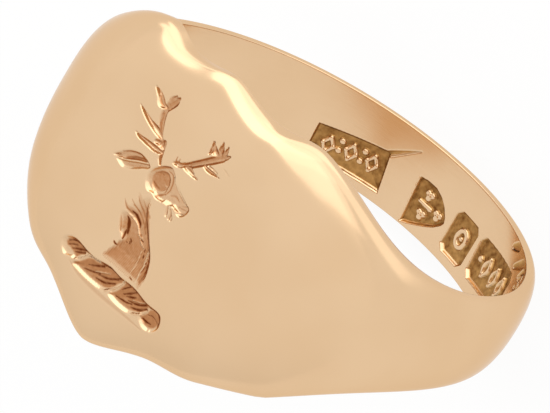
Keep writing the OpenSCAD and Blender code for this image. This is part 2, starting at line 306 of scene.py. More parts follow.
def closed_mesh(name, grid, worked):
    """Mesh of a grid whose rows close round on themselves, with a fan over each end.
    Faces run down the rows first and along the columns next, which points them outwards."""
    rows, columns = grid.shape[:2]
    points = grid.reshape(-1, 3)
    index = np.arange(rows * columns).reshape(rows, columns)
    below = np.roll(index, -1, 0)
    quads = np.stack([index[:, :-1], below[:, :-1], below[:, 1:], index[:, 1:]], -1)
    quads = quads.reshape(-1, 4)
    hubs = grid[:, [0, -1]].mean(0)
    hub = len(points)
    first = np.stack([index[:, 0], np.full(rows, hub), below[:, 0]], -1)
    last = np.stack([index[:, -1], below[:, -1], np.full(rows, hub + 1)], -1)
    points = np.vstack([points, hubs]) * MM

    loops = np.concatenate([quads.ravel(), first.ravel(), last.ravel()])
    sizes = np.concatenate([np.full(len(quads), 4), np.full(2 * rows, 3)])
    smooth = np.concatenate([np.ones(len(quads), bool), np.zeros(2 * rows, bool)])
    mesh = bpy.data.meshes.new(name)
    mesh.vertices.add(len(points))
    mesh.vertices.foreach_set("co", points.astype(np.float32).ravel())
    mesh.loops.add(len(loops))
    mesh.loops.foreach_set("vertex_index", loops.astype(np.int32))
    mesh.polygons.add(len(sizes))
    mesh.polygons.foreach_set("loop_start", (np.cumsum(sizes) - sizes).astype(np.int32))
    mesh.polygons.foreach_set("use_smooth", smooth)
    # Attribute with the darkening of the cuts, 0 to 1: painted shade in the crest, with painted
    # highlights on the lit walls.
    layer = mesh.attributes.new("worked", "FLOAT", "POINT")
    layer.data.foreach_set("value", np.append(worked.ravel(), [0, 0]).astype(np.float32))
    mesh.update(calc_edges=True)
    mesh.validate()
    # The flat ends meet the sides at a true corner, so the shading must not run round it.
    ends = np.empty(2 * len(mesh.edges), np.int32)
    mesh.edges.foreach_get("vertices", ends)
    column = np.where(ends < rows * columns, ends % columns, -1).reshape(-1, 2)
    corner = (column[:, 0] == column[:, 1]) & np.isin(column[:, 0], (0, columns - 1))
    sharp = mesh.attributes.new("sharp_edge", "BOOLEAN", "EDGE")
    sharp.data.foreach_set("value", corner)
    return mesh


def place_piece(name, mesh, material, node):
    """Puts a finished mesh into the scene, in place of its CAD node."""
    piece = bpy.data.objects.new(name, mesh)
    bpy.context.scene.collection.objects.link(piece)
    mesh.materials.append(material)
    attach(piece, BODY)
    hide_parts(node)


# ---------------------------------------------------------------- cuts

CURVE_STEPS = 8         # straight pieces between two listed points
CURVE_MARGIN = 0.02     # mm looked at beyond a curve
TINY, THIN = 1e-12, 1e-4        # least divisors, of an area or a step and of a width in mm
CUT_POWER = 0.85        # a graver's cut is a little fuller than a parabola
DARK_POWER = 0.4        # and its painted shade reaches nearly to its edges
CUT_LIT = 0.9, 1.5      # share of painted shade on its curve, and the gain a half width above it; below it the lower wall is left lighter as a painted highlight
WALL_POWER = 1.7        # how soon a hollow's wall flattens out
WALL_LIT = 0.6          # share of a hollow's wall left lighter on its lower side, as a painted highlight
MOTIF_HEIGHT = 0.75     # share of a struck field's depth that a motif stands up in it
MOTIF_SLOPE = 2.2       # steepness of the motif's sides


def curve_mm(points):
    """Listed points in millimetres: hundredths over 100."""
    return np.asarray(points, float) / 100


def smooth_curve(p, closed=False):
    """Curve through points: the Catmull-Rom cubic between each pair, whose slope at a point
    is half the way between its two neighbours."""
    if closed:
        p = np.vstack([p[-1:], p, p[:2]])
    else:
        p = np.vstack([2 * p[0] - p[1], p, 2 * p[-1] - p[-2]])
    t = np.linspace(0, 1, CURVE_STEPS, endpoint=False)[None, :, None]
    a, b, c, d = (p[i:len(p) - 3 + i, None, :] for i in range(4))
    curve = b + 0.5 * t * (c - a + t * (2 * a - 5 * b + 4 * c - d
                                        + t * (3 * (b - c) + d - a)))
    curve = curve.reshape(-1, p.shape[1])
    return curve if closed else np.vstack([curve, p[-2:-1]])


def nearest_on(x, y, path):
    """Distance from each place to a path of straight pieces, and the path's number there:
    the place is dropped onto each piece and held between its ends."""
    start, step = path[:-1], np.diff(path, axis=0)
    length2 = np.maximum((step ** 2).sum(1), TINY)
    dx, dy = x[:, None] - start[:, 0], y[:, None] - start[:, 1]
    share = np.clip((dx * step[:, 0] + dy * step[:, 1]) / length2, 0, 1)
    gap2 = (dx - share * step[:, 0]) ** 2 + (dy - share * step[:, 1]) ** 2
    best = gap2.argmin(1)
    row = np.arange(len(x))
    return np.sqrt(gap2[row, best]), best + share[row, best]


def inside(x, y, outline):
    """Whether each place is inside a closed outline: it is when a line from it towards +X
    crosses the outline an odd number of times."""
    ax, ay = outline[:, 0], outline[:, 1]
    bx, by = np.roll(ax, -1), np.roll(ay, -1)
    spans = (ay > y[:, None]) != (by > y[:, None])
    slope = (bx - ax) / np.where(by == ay, TINY, by - ay)
    return ((x[:, None] < ax + (y[:, None] - ay) * slope) & spans).sum(1) % 2 == 1


def blend(ends, share):
    """Straight change from the first end to the second."""
    return ends[0] + (ends[1] - ends[0]) * share


class Cutting:
    """Depth in mm and darkening, 0 to 1, of everything cut into one patch of metal; in the crest
    the darkening is painted shade. Each method adds one kind of cut with a graver, scorper or
    punch, along or round a listed curve."""

    def __init__(self, x, y):
        self.shape = np.broadcast(x, y).shape
        self.x = np.broadcast_to(x, self.shape).ravel().astype(float)
        self.y = np.broadcast_to(y, self.shape).ravel().astype(float)
        self.depth = np.zeros(self.x.size)
        self.dark = np.zeros(self.x.size)

    def near(self, curve, margin):
        """Numbers of the places in the curve's box, widened by the margin."""
        low, high = np.min(curve, 0)[:2] - margin, np.max(curve, 0)[:2] + margin
        return np.flatnonzero((self.x > low[0]) & (self.x < high[0])
                              & (self.y > low[1]) & (self.y < high[1]))

    def along(self, points):
        """Places near a curve of (x, y, half width) points, with the share v of the half
        width they lie off it, how far along it they are, from 0 to 1, and the share of the
        half width they lie above it."""
        curve = smooth_curve(curve_mm(points))
        at = self.near(curve, curve[:, 2].max() + CURVE_MARGIN)
        gap, number = nearest_on(self.x[at], self.y[at], curve[:, :2])
        wide = np.interp(number, np.arange(len(curve)), curve[:, 2])
        v = gap / np.maximum(wide, THIN)
        above = (self.y[at] - np.interp(number, np.arange(len(curve)), curve[:, 1])) / wide
        keep = v < 1
        return at[keep], v[keep], number[keep] / (len(curve) - 1), above[keep]

    def stroke(self, points, depth, dark=0.4, fade=(1, 1), power=CUT_POWER):
        """One tapered cut: depth times (1 - v squared) to the power, deepest on the curve,
        and times the fade at its two ends. It is darkened as painted shade, less on its lower wall,
        which is left lighter as a painted highlight."""
        at, v, along, above = self.along(points)
        body = (1 - v ** 2) ** power
        ends = blend(fade, along)
        self.depth[at] = np.maximum(self.depth[at], depth * body * ends)
        self.dark[at] = np.maximum(self.dark[at], dark * body ** DARK_POWER * ends
                                   * np.clip(CUT_LIT[0] + CUT_LIT[1] * above, 0, 1))

    def groove(self, points, depth, dark=0.9, fade=(1, 1)):
        """A finer cut in the floor of another: it adds depth times (1 - v squared)."""
        at, v, along, _ = self.along(points)
        body = (1 - v ** 2) * blend(fade, along)
        self.depth[at] += depth * body
        # Painted shade along the groove's floor.
        self.dark[at] = np.maximum(self.dark[at], dark * body)

    def ridge(self, points, height, dark=0.0):
        """Metal left standing between two cuts: it takes its height times (1 - v squared)
        squared off the depth."""
        at, v, *_ = self.along(points)
        body = (1 - v ** 2) ** 2
        self.depth[at] = np.maximum(0, self.depth[at] - height * body)
        # The ridge's painted shade is pulled to its own value, most often less than the cuts beside
        # it.
        self.dark[at] += (dark - self.dark[at]) * body

    def hollow(self, outline, depth, wall, dark=0.4, smooth=True):
        """A scooped hollow: it falls steeply from the outline and flattens out over the
        wall's width, as one minus the share left to the wall's power."""
        edge = curve_mm(outline)
        if smooth:
            edge = smooth_curve(edge, closed=True)
        at = self.near(edge, CURVE_MARGIN)
        at = at[inside(self.x[at], self.y[at], edge)]
        ring = np.vstack([edge, edge[:1]])
        gap, number = nearest_on(self.x[at], self.y[at], ring)
        share = np.clip(gap / wall, 0, 1)
        self.depth[at] = np.maximum(self.depth[at], depth * (1 - (1 - share) ** WALL_POWER))
        # Painted shade: darker away from the outline, and the lower wall is left lighter as a
        # painted highlight.
        rise = self.y[at] - np.interp(number, np.arange(len(ring)), ring[:, 1])
        bright = WALL_LIT * np.clip(rise / np.maximum(gap, THIN), 0, 1)
        self.dark[at] = np.maximum(self.dark[at], dark * np.clip((share - bright) * 2, 0, 1))
        return at

    def motif(self, points):
        """Metal that a punch leaves standing in a struck field, flat on top and without the
        field's darkening: the slope times (1 - v squared), held to 1."""
        at, v, *_ = self.along(points)
        body = np.clip((1 - v ** 2) * MOTIF_SLOPE, 0, 1)
        self.depth[at] *= 1 - MOTIF_HEIGHT * body
        self.dark[at] *= 1 - body

    def pellet(self, px, py, r):
        """A round motif."""
        self.motif([(px - 1, py, r), (px + 1, py, r)])

    def grid(self, values):
        """Values at the places, back in the patch's rows and columns."""
        return values.reshape(self.shape)


# Curves of the crest, in hundredths of a millimetre: (x, y) round a hollow, and (x, y, half
# width) along a cut. A table's comment names the numbers that stand before each curve.

TORSE_SHADE = [(-190, -420, 4), (-120, -438, 14), (0, -442, 14), (160, -436, 10),
        (250, -436, 4)]
TORSE_BED = [(-272, -375), (-260, -345), (-210, -324), (-130, -330), (-80, -328), (-40, -318),
        (0, -312), (60, -316), (100, -312), (150, -312), (220, -324), (290, -324), (314, -350),
        (316, -390), (290, -420), (250, -410), (220, -394), (200, -390), (170, -400),
        (120, -406), (70, -410), (30, -404), (0, -410), (-60, -408), (-120, -408), (-160, -402),
        (-185, -400), (-230, -418), (-260, -402)]
TORSE_LOBES = (         # the wreath's strands, from its left end to its round right end
    [(-262, -372), (-252, -348), (-220, -330), (-175, -332), (-132, -336), (-154, -372),
     (-178, -404), (-220, -396), (-250, -392)],
    [(-176, -420), (-142, -374), (-116, -346), (-62, -334), (-30, -320), (10, -315), (66, -320),
     (76, -340), (62, -366), (40, -400), (5, -421), (-50, -428), (-120, -429)],
    [(42, -410), (66, -374), (80, -342), (88, -318), (140, -315), (195, -324), (237, -334),
     (235, -358), (215, -390), (184, -410), (150, -421), (90, -423)],
    [(216, -392), (236, -366), (246, -336), (280, -330), (304, -345), (310, -372), (302, -404),
     (275, -425), (240, -420)],
)
TORSE_GROOVES = (       # finer cuts that follow the twist
    [(-220, -378, 3), (-185, -358, 9), (-150, -338, 6)],
    [(-198, -380, 3), (-172, -366, 8), (-150, -352, 5)],
    [(-250, -360, 3), (-220, -340, 5), (-180, -334, 4)],
    [(-245, -378, 2), (-225, -362, 4), (-200, -350, 3)],
    [(-110, -380, 3), (-75, -360, 7), (-40, -338, 9)],
    [(-120, -405, 3), (-80, -392, 6), (-40, -375, 4)],
    [(-50, -384, 3), (0, -368, 8), (50, -340, 5)],
    [(-50, -402, 3), (0, -390, 8), (45, -362, 5)],
    [(-35, -330, 3), (0, -320, 5), (50, -324, 3)],
    [(10, -362, 2), (40, -342, 5), (60, -328, 3)],
    [(86, -360, 3), (100, -342, 5), (116, -326, 3)],
    [(100, -372, 3), (125, -352, 9), (152, -328, 5)],
    [(120, -368, 3), (142, -358, 8), (162, -346, 4)],
    [(75, -400, 3), (125, -392, 6), (160, -380, 4)],
    [(135, -378, 3), (180, -366, 7), (220, -342, 5)],
    [(160, -394, 3), (200, -378, 8), (230, -352, 5)],
    [(235, -336, 2), (280, -333, 5), (305, -355, 4), (308, -380, 2)],
    [(230, -395, 3), (250, -398, 8), (275, -394, 3)],
    [(240, -370, 2), (270, -360, 3), (300, -370, 2)],
)
TORSE_RIDGES = (        # edges left between them, paler with less painted shade
    [(-180, -410, 4), (-150, -374, 3), (-120, -344, 3.5), (-60, -332, 2)],
    [(-62, -378, 2), (-30, -360, 4), (5, -342, 2)],
    [(28, -410, 8), (50, -384, 5), (76, -350, 3), (84, -320, 3)],
    [(155, -360, 2), (185, -350, 3), (215, -334, 2)],
    [(185, -406, 6), (214, -390, 5), (236, -362, 3), (242, -336, 2)],
)


def cut_torse(c):
    """The twisted wreath under the crest: one bed whose lower wall is left lighter as a painted
    highlight, four strands cut in it, and thin ridges left between them with less painted shade."""
    # Painted shade: a faint dark band under the wreath, in a cut only 0.01 mm deep.
    c.stroke(TORSE_SHADE, 0.01, dark=0.12)
    c.hollow(TORSE_BED, 0.15, 0.17, dark=0.04)
    for lobe in TORSE_LOBES:
        c.hollow(lobe, 0.16, 0.18, dark=0.46)
    for line in TORSE_GROOVES:
        c.groove(line, 0.03, dark=1.05)
    for line in TORSE_RIDGES:
        c.ridge(line, 0.1, dark=0.12)


NECK = [(0, 28), (7, -3), (20, -36), (50, -70), (85, -110), (115, -145), (136, -175),
        (150, -210), (159, -250), (158, -280), (150, -310), (140, -298), (105, -296),
        (50, -297), (0, -298), (-65, -298), (-56, -260), (-42, -230), (-36, -207), (-27, -190),
        (-42, -176), (-62, -166), (-80, -135), (-98, -100), (-80, -86), (-100, -60), (-85, -30),
        (-70, 5), (-30, 20)]
NECK_SHADES = (         # painted shade of each stroke
    (0.52, [(15, -30, 12), (35, -85, 30), (75, -135, 25), (100, -170, 10)]),
    (0.46, [(120, -175, 8), (142, -230, 14), (147, -270, 12), (150, -300, 5)]),
    (0.32, [(30, -40, 12), (-10, -35, 16), (-40, -10, 14), (-60, 10, 6)]),
    (0.42, [(10, -95, 14), (-40, -72, 16), (-70, -70, 12), (-95, -60, 5)]),
    (0.34, [(-30, -170, 10), (-55, -140, 16), (-80, -110, 12)]),
)
NECK_HAIRS = (          # painted shade along each hair
    (0.5, [(10, 10, 2), (20, -45, 4), (60, -95, 5), (105, -155, 3)]),
    (0.55, [(-55, -2, 2), (-25, -30, 6), (30, -75, 5), (70, -120, 3)]),
    (0.45, [(-30, 2, 2), (0, -30, 5), (35, -65, 3)]),
    (0.5, [(-75, -30, 2), (-35, -50, 5), (10, -75, 5), (50, -110, 3)]),
    (0.62, [(-60, -42, 2), (-30, -52, 5), (-15, -62, 2)]),
    (0.62, [(12, -50, 3), (22, -68, 8), (35, -90, 3)]),
    (0.6, [(15, -30, 3), (20, -40, 7), (26, -55, 3)]),
    (0.5, [(-105, -50, 2), (-80, -70, 6), (-45, -78, 5)]),
    (0.45, [(-85, -115, 2), (-70, -140, 5), (-50, -170, 2)]),
    (0.55, [(60, -110, 2), (85, -140, 4), (100, -170, 2)]),
    (0.5, [(125, -180, 2), (138, -230, 4), (142, -280, 2)]),
    (0.5, [(20, -40, 2), (84, -113, 3), (135, -178, 4), (157, -250, 3)]),
)
NECK_SLOTS = (
    [(-50, -70, 4), (-30, -75, 10), (0, -90, 8), (14, -106, 3)],
    [(-60, -103, 4), (-44, -120, 12), (-30, -145, 10), (-24, -160, 5)],
    [(-36, -150, 3), (-31, -168, 6), (-25, -187, 3)],
    [(2, -170, 4), (10, -178, 5)],
    [(3, -180, 2), (8, -188, 4)],
    [(47, -142, 3), (60, -143, 3.5)],
    [(32, -126, 3), (40, -130, 3.5)],
    [(93, -184, 4), (96, -196, 4)],
    [(85, -160, 2), (88, -172, 3.5)],
    [(-50, -220, 5), (-38, -224, 5.5)],
    [(-12, -190, 2), (-5, -192, 3)],
    [(95, -290, 3), (108, -293, 3)],
)
NECK_RIDGES = (         # height
    (0.16, [(108, -155, 3), (120, -200, 4.5), (124, -250, 5), (132, -300, 6)]),
    (0.09, [(-75, -86, 2), (-35, -92, 5), (0, -102, 5), (25, -126, 4), (55, -136, 2)]),
    (0.07, [(30, -130, 2), (55, -152, 3), (80, -162, 2)]),
    (0.04, [(75, -175, 2), (85, -240, 2.5), (88, -295, 2)]),
)
HAIR_GAP = 0.085        # mm from one combed hair to the next
NECK_FOOT = -2.98       # Y of the neck's foot, mm


def cut_neck(c):
    """Neck torn off with a ragged mane: a shallow hollow with combed hair in its floor, a
    sine across the neck that is bent a little along it."""
    at = c.hollow(NECK, 0.16, 0.2, dark=0.3)
    x, y = c.x[at], c.y[at]
    # The mane deepens down and to the right over half a millimetre. The neck's foot and the
    # tear at the throat, at (-0.55, -1.6), run out shallow.
    fade = np.clip((0.36 + 0.85 * x - 0.53 * y) / 0.5, 0, 1)
    foot_share = 0.05 + 0.95 * np.clip((y - NECK_FOOT) / 0.7, 0, 1)
    tear = 0.4 + 0.6 * np.clip(np.hypot(x + 0.55, y + 1.6) / 0.4, 0, 1)
    c.depth[at] *= fade ** 1.3 * foot_share * tear
    low = np.clip((-1.0 - y) / 1.2, 0, 1)
    comb = 0.5 + 0.5 * np.sin(2 * np.pi * (x - 0.12 * y) / HAIR_GAP + 0.8 * np.sin(3 * y))
    c.depth[at] += 0.02 * comb * low * foot_share
    # Painted shade: it thins where the mane runs out shallow and gathers in the troughs of the
    # combed hair.
    c.dark[at] = c.dark[at] * fade ** 1.5 + 0.24 * comb * low
    for dark, shade in NECK_SHADES:
        c.stroke(shade, 0.02, dark=dark, fade=(1, 0.2))
    for dark, hair in NECK_HAIRS:
        c.groove(hair, 0.015, dark=1.3 * dark, fade=(0.5, 1))
    for slot in NECK_SLOTS:
        c.groove(slot, 0.015, dark=1.15)
    for height, line in NECK_RIDGES:
        c.ridge(line, height)


HEAD = [(-64, 133), (-45, 154), (-18, 176), (9, 188), (34, 177), (64, 150), (109, 130),
        (145, 116), (172, 104), (176, 86), (166, 60), (148, 46), (120, 52), (100, 60), (80, 52),
        (50, 44), (14, 38), (-10, 45), (-36, 42), (-56, 52), (-72, 76), (-74, 105)]
CHEEK = [(-64, 100), (-50, 135), (-20, 155), (10, 155), (33, 130), (36, 95), (15, 65),
        (-20, 50), (-50, 62)]
HEAD_GROOVES = (        # depth and painted shade
    (0.025, 0.5, [(-5, 160, 2), (20, 158, 4), (38, 135, 4.5), (44, 100, 5), (36, 72, 2)]),
    (0.025, 0.5, [(10, 135, 2), (22, 115, 4), (30, 90, 4.5), (28, 75, 2)]),
    (0.025, 0.5, [(-10, 150, 2), (5, 142, 3.5), (18, 130, 2)]),
    (0.025, 0.5, [(-55, 120, 2), (-35, 128, 4), (-15, 132, 2)]),
    (0.025, 0.5, [(-50, 80, 3), (-30, 72, 8), (-5, 72, 3)]),
    (0.025, 0.5, [(-50, 148, 2), (-20, 172, 3.5), (10, 182, 4), (40, 166, 2)]),
    (0.025, 0.5, [(35, 75, 3), (20, 60, 6), (5, 45, 3)]),
    (0.02, 0.36, [(130, 84, 2), (145, 92, 3.5), (162, 100, 3)]),
    (0.02, 0.36, [(120, 72, 2), (145, 78, 3.5), (170, 84, 2)]),
    (0.02, 0.36, [(60, 86, 3), (85, 98, 7), (110, 90, 3)]),
    (0.02, 0.36, [(55, 135, 2), (95, 115, 4), (130, 100, 3)]),
)
HEAD_RIDGES = (         # height and painted shade
    (0.12, 0, [(40, 162, 3), (70, 140, 5), (110, 121, 5), (160, 104, 2)]),
    (0.08, 0.2, [(105, 58, 3), (130, 56, 5), (162, 68, 3)]),
    (0.06, 0, [(10, 102, 2), (20, 102, 3)]),
)
TUFTS = (
    [(80, 50, 5), (88, 30, 8), (95, 15, 6)],
    [(100, 45, 6), (110, 28, 8), (112, 12, 6)],
    [(118, 30, 4), (124, 18, 5), (122, 10, 3)],
)
JAW_Y, JAW_SLANT = 0.37, 0.15       # Y of the jaw's lower edge at X 0, and its climb
JAW_SLOPE = 0.95                    # depth gained for each mm up from that edge
JAW_LEFT, JAW_RIGHT = 0.5, 0.88     # X where the bevel starts to run out, mm


def cut_head(c):
    """Head in profile, looking to +X, with the cheek as a deeper bowl."""
    c.hollow(HEAD, 0.18, 0.15, dark=0.16)
    c.hollow(CHEEK, 0.24, 0.13, dark=0.36)
    for depth, dark, line in HEAD_GROOVES:
        c.groove(line, depth, dark=dark)
    # The jaw's lower edge is one broad bevel that catches the light and runs out at its ends; its
    # painted shade is all but cleared.
    above = c.y - JAW_Y - JAW_SLANT * c.x
    bevel = (JAW_SLOPE * above + 1.2 * np.maximum(0, JAW_LEFT - c.x)
             + 8 * np.maximum(0, c.x - JAW_RIGHT))
    at = np.flatnonzero((np.abs(c.x - 0.55) < 0.5) & (above > -0.1) & (bevel < c.depth))
    c.depth[at], c.dark[at] = np.maximum(0, bevel[at]), 0.02
    for height, dark, line in HEAD_RIDGES:
        c.ridge(line, height, dark=dark)
    for tuft in TUFTS:
        c.stroke(tuft, 0.08, dark=0.22)


EAR = [(-262, 60), (-238, 90), (-214, 114), (-182, 133), (-150, 144), (-120, 143), (-95, 137),
        (-77, 124), (-88, 106), (-110, 92), (-132, 74), (-160, 55), (-195, 42), (-230, 50)]
EAR_GROOVES = (         # depth and painted shade
    (0.04, 0.62, [(-215, 72, 3), (-180, 100, 11), (-150, 118, 7), (-115, 132, 3)]),
    (0.02, 0.5, [(-230, 95, 2), (-190, 122, 4), (-150, 136, 3)]),
    (0.02, 0.3, [(-190, 60, 2), (-150, 80, 5), (-100, 112, 3)]),
)
EAR_RIDGE = [(-250, 57, 4), (-214, 70, 8), (-175, 90, 9), (-145, 107, 9), (-100, 128, 6)]


def cut_ear(c):
    """Ear, laid back, with a ridge along its middle."""
    c.hollow(EAR, 0.12, 0.16, dark=0.22)
    for depth, dark, line in EAR_GROOVES:
        c.groove(line, depth, dark=dark)
    c.ridge(EAR_RIDGE, 0.11)


TINES = (               # depth
    (0.16, [(-47, 162, 6), (-62, 185, 10), (-70, 215, 10), (-80, 245, 12)]),
    (0.16, [(-78, 220, 10), (-95, 230, 20), (-115, 225, 12)]),
    (0.17, [(-85, 230, 12), (-112, 255, 13), (-130, 285, 15), (-146, 320, 17), (-153, 355, 15)]),
    (0.16, [(-150, 360, 15), (-142, 385, 20), (-130, 410, 19), (-122, 430, 6)]),
    (0.13, [(-150, 380, 8), (-150, 405, 12), (-138, 430, 4)]),
    (0.18, [(-160, 360, 10), (-185, 365, 20), (-210, 385, 15), (-245, 402, 4)]),
    (0.17, [(-112, 248, 6), (-140, 262, 17), (-185, 270, 13), (-230, 284, 9), (-266, 298, 2)]),
    (0.16, [(-72, 202, 10), (-110, 198, 15), (-160, 195, 12), (-200, 193, 8), (-222, 198, 2)]),
    (0.12, [(4, 208, 5), (20, 214, 13), (38, 220, 12), (52, 236, 8)]),
    (0.17, [(45, 225, 8), (75, 248, 14), (115, 288, 16), (155, 330, 18), (186, 362, 17)]),
    (0.16, [(170, 350, 16), (145, 360, 17), (125, 375, 13), (112, 390, 3)]),
    (0.14, [(122, 340, 5), (125, 365, 11), (118, 395, 3)]),
    (0.17, [(170, 355, 15), (162, 385, 15), (155, 415, 4)]),
    (0.15, [(180, 360, 14), (185, 385, 12), (185, 415, 3)]),
    (0.15, [(185, 360, 13), (200, 375, 10), (212, 390, 3)]),
    (0.13, [(130, 285, 6), (160, 283, 10), (190, 286, 7), (220, 290, 2)]),
    (0.08, [(150, 298, 4), (175, 300, 5), (200, 298, 2)]),
    (0.13, [(52, 225, 7), (80, 226, 12), (110, 222, 7), (136, 221, 3)]),
    (0.1, [(75, 236, 5), (90, 236, 6), (110, 232, 2)]),
)
ANTLER_GROOVES = (
    [(-55, 175, 3), (-68, 200, 5), (-72, 240, 3)],
    [(-90, 215, 2), (-88, 235, 5), (-85, 250, 2)],
    [(-105, 215, 2), (-100, 230, 3), (-98, 242, 2)],
    [(-120, 255, 2), (-145, 295, 4), (-160, 340, 3)],
    [(-135, 375, 3), (-128, 400, 5), (-122, 415, 2)],
    [(-155, 380, 2), (-142, 405, 4), (-135, 420, 2)],
    [(-175, 355, 2), (-195, 360, 5), (-215, 380, 3)],
    [(-170, 372, 2), (-195, 378, 4), (-220, 392, 2)],
    [(10, 210, 2), (8, 225, 4), (6, 240, 2)],
    [(22, 212, 2), (22, 228, 3), (22, 242, 2)],
    [(55, 242, 2), (105, 292, 4.5), (160, 350, 3)],
    [(80, 242, 2), (130, 290, 3), (190, 350, 4)],
    [(130, 350, 3), (135, 365, 5), (125, 380, 2)],
    [(162, 370, 3), (162, 385, 6), (158, 405, 2)],
    [(185, 370, 2), (190, 385, 4), (188, 400, 2)],
    [(70, 242, 2), (85, 242, 5), (100, 236, 2)],
    [(145, 284, 2), (165, 284, 3), (195, 288, 2)],
)
SLIP = [(217, 332, 2), (233, 328, 3.5), (250, 323, 2)]


def cut_antlers(c):
    """Both antlers, each a tapered beam and its tines, and a slip of the graver beside one."""
    for depth, tine in TINES:
        c.stroke(tine, depth, dark=0.34)
    for line in ANTLER_GROOVES:
        c.groove(line, 0.02, dark=0.48)
    c.stroke(SLIP, 0.03, dark=0.12)


RIPPLE = 0.008, 0.15    # the graver's chatter, mm, and the depth at which it is full


def crest(x, y, scale):
    """Everything the engraver cut into the table, as one Cutting. The chatter in it is
    products and sums of sines that cross."""
    c = Cutting(x, y)
    # Each cut darkens the metal as painted shade; strokes and hollows leave their lower walls
    # lighter as painted highlights.
    for cut in (cut_neck, cut_head, cut_ear, cut_antlers, cut_torse):
        cut(c)
    ripple = (np.sin(61 * c.x + 23 * c.y) * np.sin(47 * c.y - 29 * c.x)
              + 0.6 * np.sin(97 * c.x - 71 * c.y))
    c.depth += RIPPLE[0] * ripple * np.clip(c.depth / RIPPLE[1], 0, 1)
    c.depth *= scale
    return c


# ---------------------------------------------------------------- struck marks

FIELD_WALL = 0.13       # mm over which a struck field falls to its floor
GRAIN = 0.006, 0.1      # grain of the punched floor, mm, and the depth at which it is full
LOZENGE = np.array([(-25, 0), (0, 36), (25, 0), (0, -36), (-25, 0)])
ROUNDED_FIELD = [(-96, 38), (-50, 45), (0, 43), (42, 27), (80, 0), (108, -32), (118, -54),
                 (108, -72), (80, -100), (42, -125), (0, -148), (-40, -168), (-78, -183)]
WORN_DENTS = (          # depth and darkening
    (0.05, 0.6, [(580, 150, 15), (610, 166, 22), (640, 170, 12)]),
    (0.06, 0.7, [(685, 110, 12), (720, 135, 20), (760, 160, 25), (800, 170, 10)]),
    (0.06, 0.55, [(800, 120, 10), (830, 160, 12), (880, 165, 12), (910, 130, 10), (890, 95, 12),
        (840, 85, 10)]),
    (0.06, 0.6, [(830, 120, 10), (860, 135, 12), (880, 120, 8)]),
)


def cut_corner(px, py, half_x, half_y, corner, tilt):
    """Outline of a rectangle with its corners cut off, turned by the tilt about its middle."""
    a, b = half_x - corner, half_y - corner
    shape = np.array([(-a, half_y), (a, half_y), (half_x, b), (half_x, -b),
                      (a, -half_y), (-a, -half_y), (-half_x, -b), (-half_x, b)])
    cos, sin = np.cos(np.radians(tilt)), np.sin(np.radians(tilt))
    return shape @ np.array([(cos, sin), (-sin, cos)]) + (px, py)


def struck_marks(x, y, deep):
    """Marks punched inside the shank, x to the right round the bore from its middle: sunk
    fields with steep walls, generic motifs standing in them, and worn dents beside them."""
    c = Cutting(x, y)

    def field(outline):
        """One struck field, to its full depth: darker to its floor, its lower wall a painted
        highlight.
        """
        c.hollow(outline, deep, FIELD_WALL, dark=0.85, smooth=False)

    # Three lozenges in outline with pellets between them, and a dent at the field's corner.
    field([(-590, -15), (-260, 42), (-222, -145), (-585, -162)])
    for middle in ((-510, -85), (-410, -62), (-310, -52)):
        corners = LOZENGE + middle
        for side in zip(corners, corners[1:]):
            c.motif([(*corner, 10) for corner in side])
    for px, py in ((-460, -85), (-360, -75), (-462, -40), (-358, -25)):
        c.pellet(px, py, 15)
    c.stroke([(-280, 20, 16), (-240, 52, 13), (-195, 88, 8), (-146, 127, 1)],
             0.13, dark=0.75, fade=(1, 0.4), power=1.0)

    # Three clusters of three pellets, and a bar.
    field(ROUNDED_FIELD)
    for px, py in ((-15, -8), (-10, -100), (65, -55)):
        for turn in 2 * np.pi * np.arange(3) / 3 + 0.5:
            c.pellet(px + 13 * np.cos(turn), py + 13 * np.sin(turn), 15)
    c.motif([(-45, -52, 9), (20, -56, 12)])

    # A ring round a pellet.
    field(cut_corner(234, -49, 84, 102, 26, 0))
    c.motif([(234 + 30 * np.cos(t), -49 + 38 * np.sin(t), 13)
             for t in np.linspace(0, 2 * np.pi, 9)])
    c.pellet(234, -49, 12)

    # A pellet and three pointed ovals.
    field(cut_corner(550, -28, 200, 100, 30, 4.5))
    c.pellet(398, -32, 17)
    for px, py in ((465, -35), (555, -27), (645, -19)):
        for side in (-1, 1):
            c.motif([(px - 5, py - 46, 8), (px + 22 * side, py, 12), (px + 5, py + 46, 8)])

    for depth, dark, dent in WORN_DENTS:
        c.stroke(dent, depth, dark=dark)
    grain = np.sin(83 * c.x + 31 * c.y) * np.sin(67 * c.y - 41 * c.x)
    c.depth += GRAIN[0] * grain * np.clip(c.depth / GRAIN[1], 0, 1)
    # The marks' darkening lies in clouds about half a millimetre across.
    c.dark *= 0.88 + 0.2 * (np.sin(5 * c.x + 3 * c.y + 2.5 * np.sin(4 * c.y - c.x))
                            * np.sin(6 * c.y - 3 * c.x + 2 * np.sin(5 * c.x + 1)))
    return c


# ---------------------------------------------------------------- materials

CLOUD = 4.0             # size of a redder cloud in the gold, mm
SHADE_GRAIN = 0.15    # grain of the cuts' darkening, mm
HAIRLINE = 0.8, 0.05    # length and spacing of the buff's hairlines, mm
HAIRLINE_DEEP = 0.002   # and their depth, mm
FULL_CUT = 0.4          # darkening of the cuts at which the metal is all cut surface
FIBRE = 3.0             # size of a cloud in the paper, mm
SHADOW_SHARE = 0.1      # of the paper's own shading that the camera sees


def add_node(tree, kind, links=None, **settings):
    """Adds a node, sets its properties, and fills its inputs with values or sockets."""
    node = tree.nodes.new(kind)
    for key, value in settings.items():
        setattr(node, key, value)
    for key, value in (links or {}).items():
        if isinstance(value, bpy.types.NodeSocket):
            tree.links.new(value, node.inputs[key])
        else:
            node.inputs[key].default_value = value
    return node


def new_material(name):
    """An empty material and its node tree."""
    material = bpy.data.materials.new(name)
    material.use_nodes = True
    material.node_tree.nodes.clear()
    return material, material.node_tree


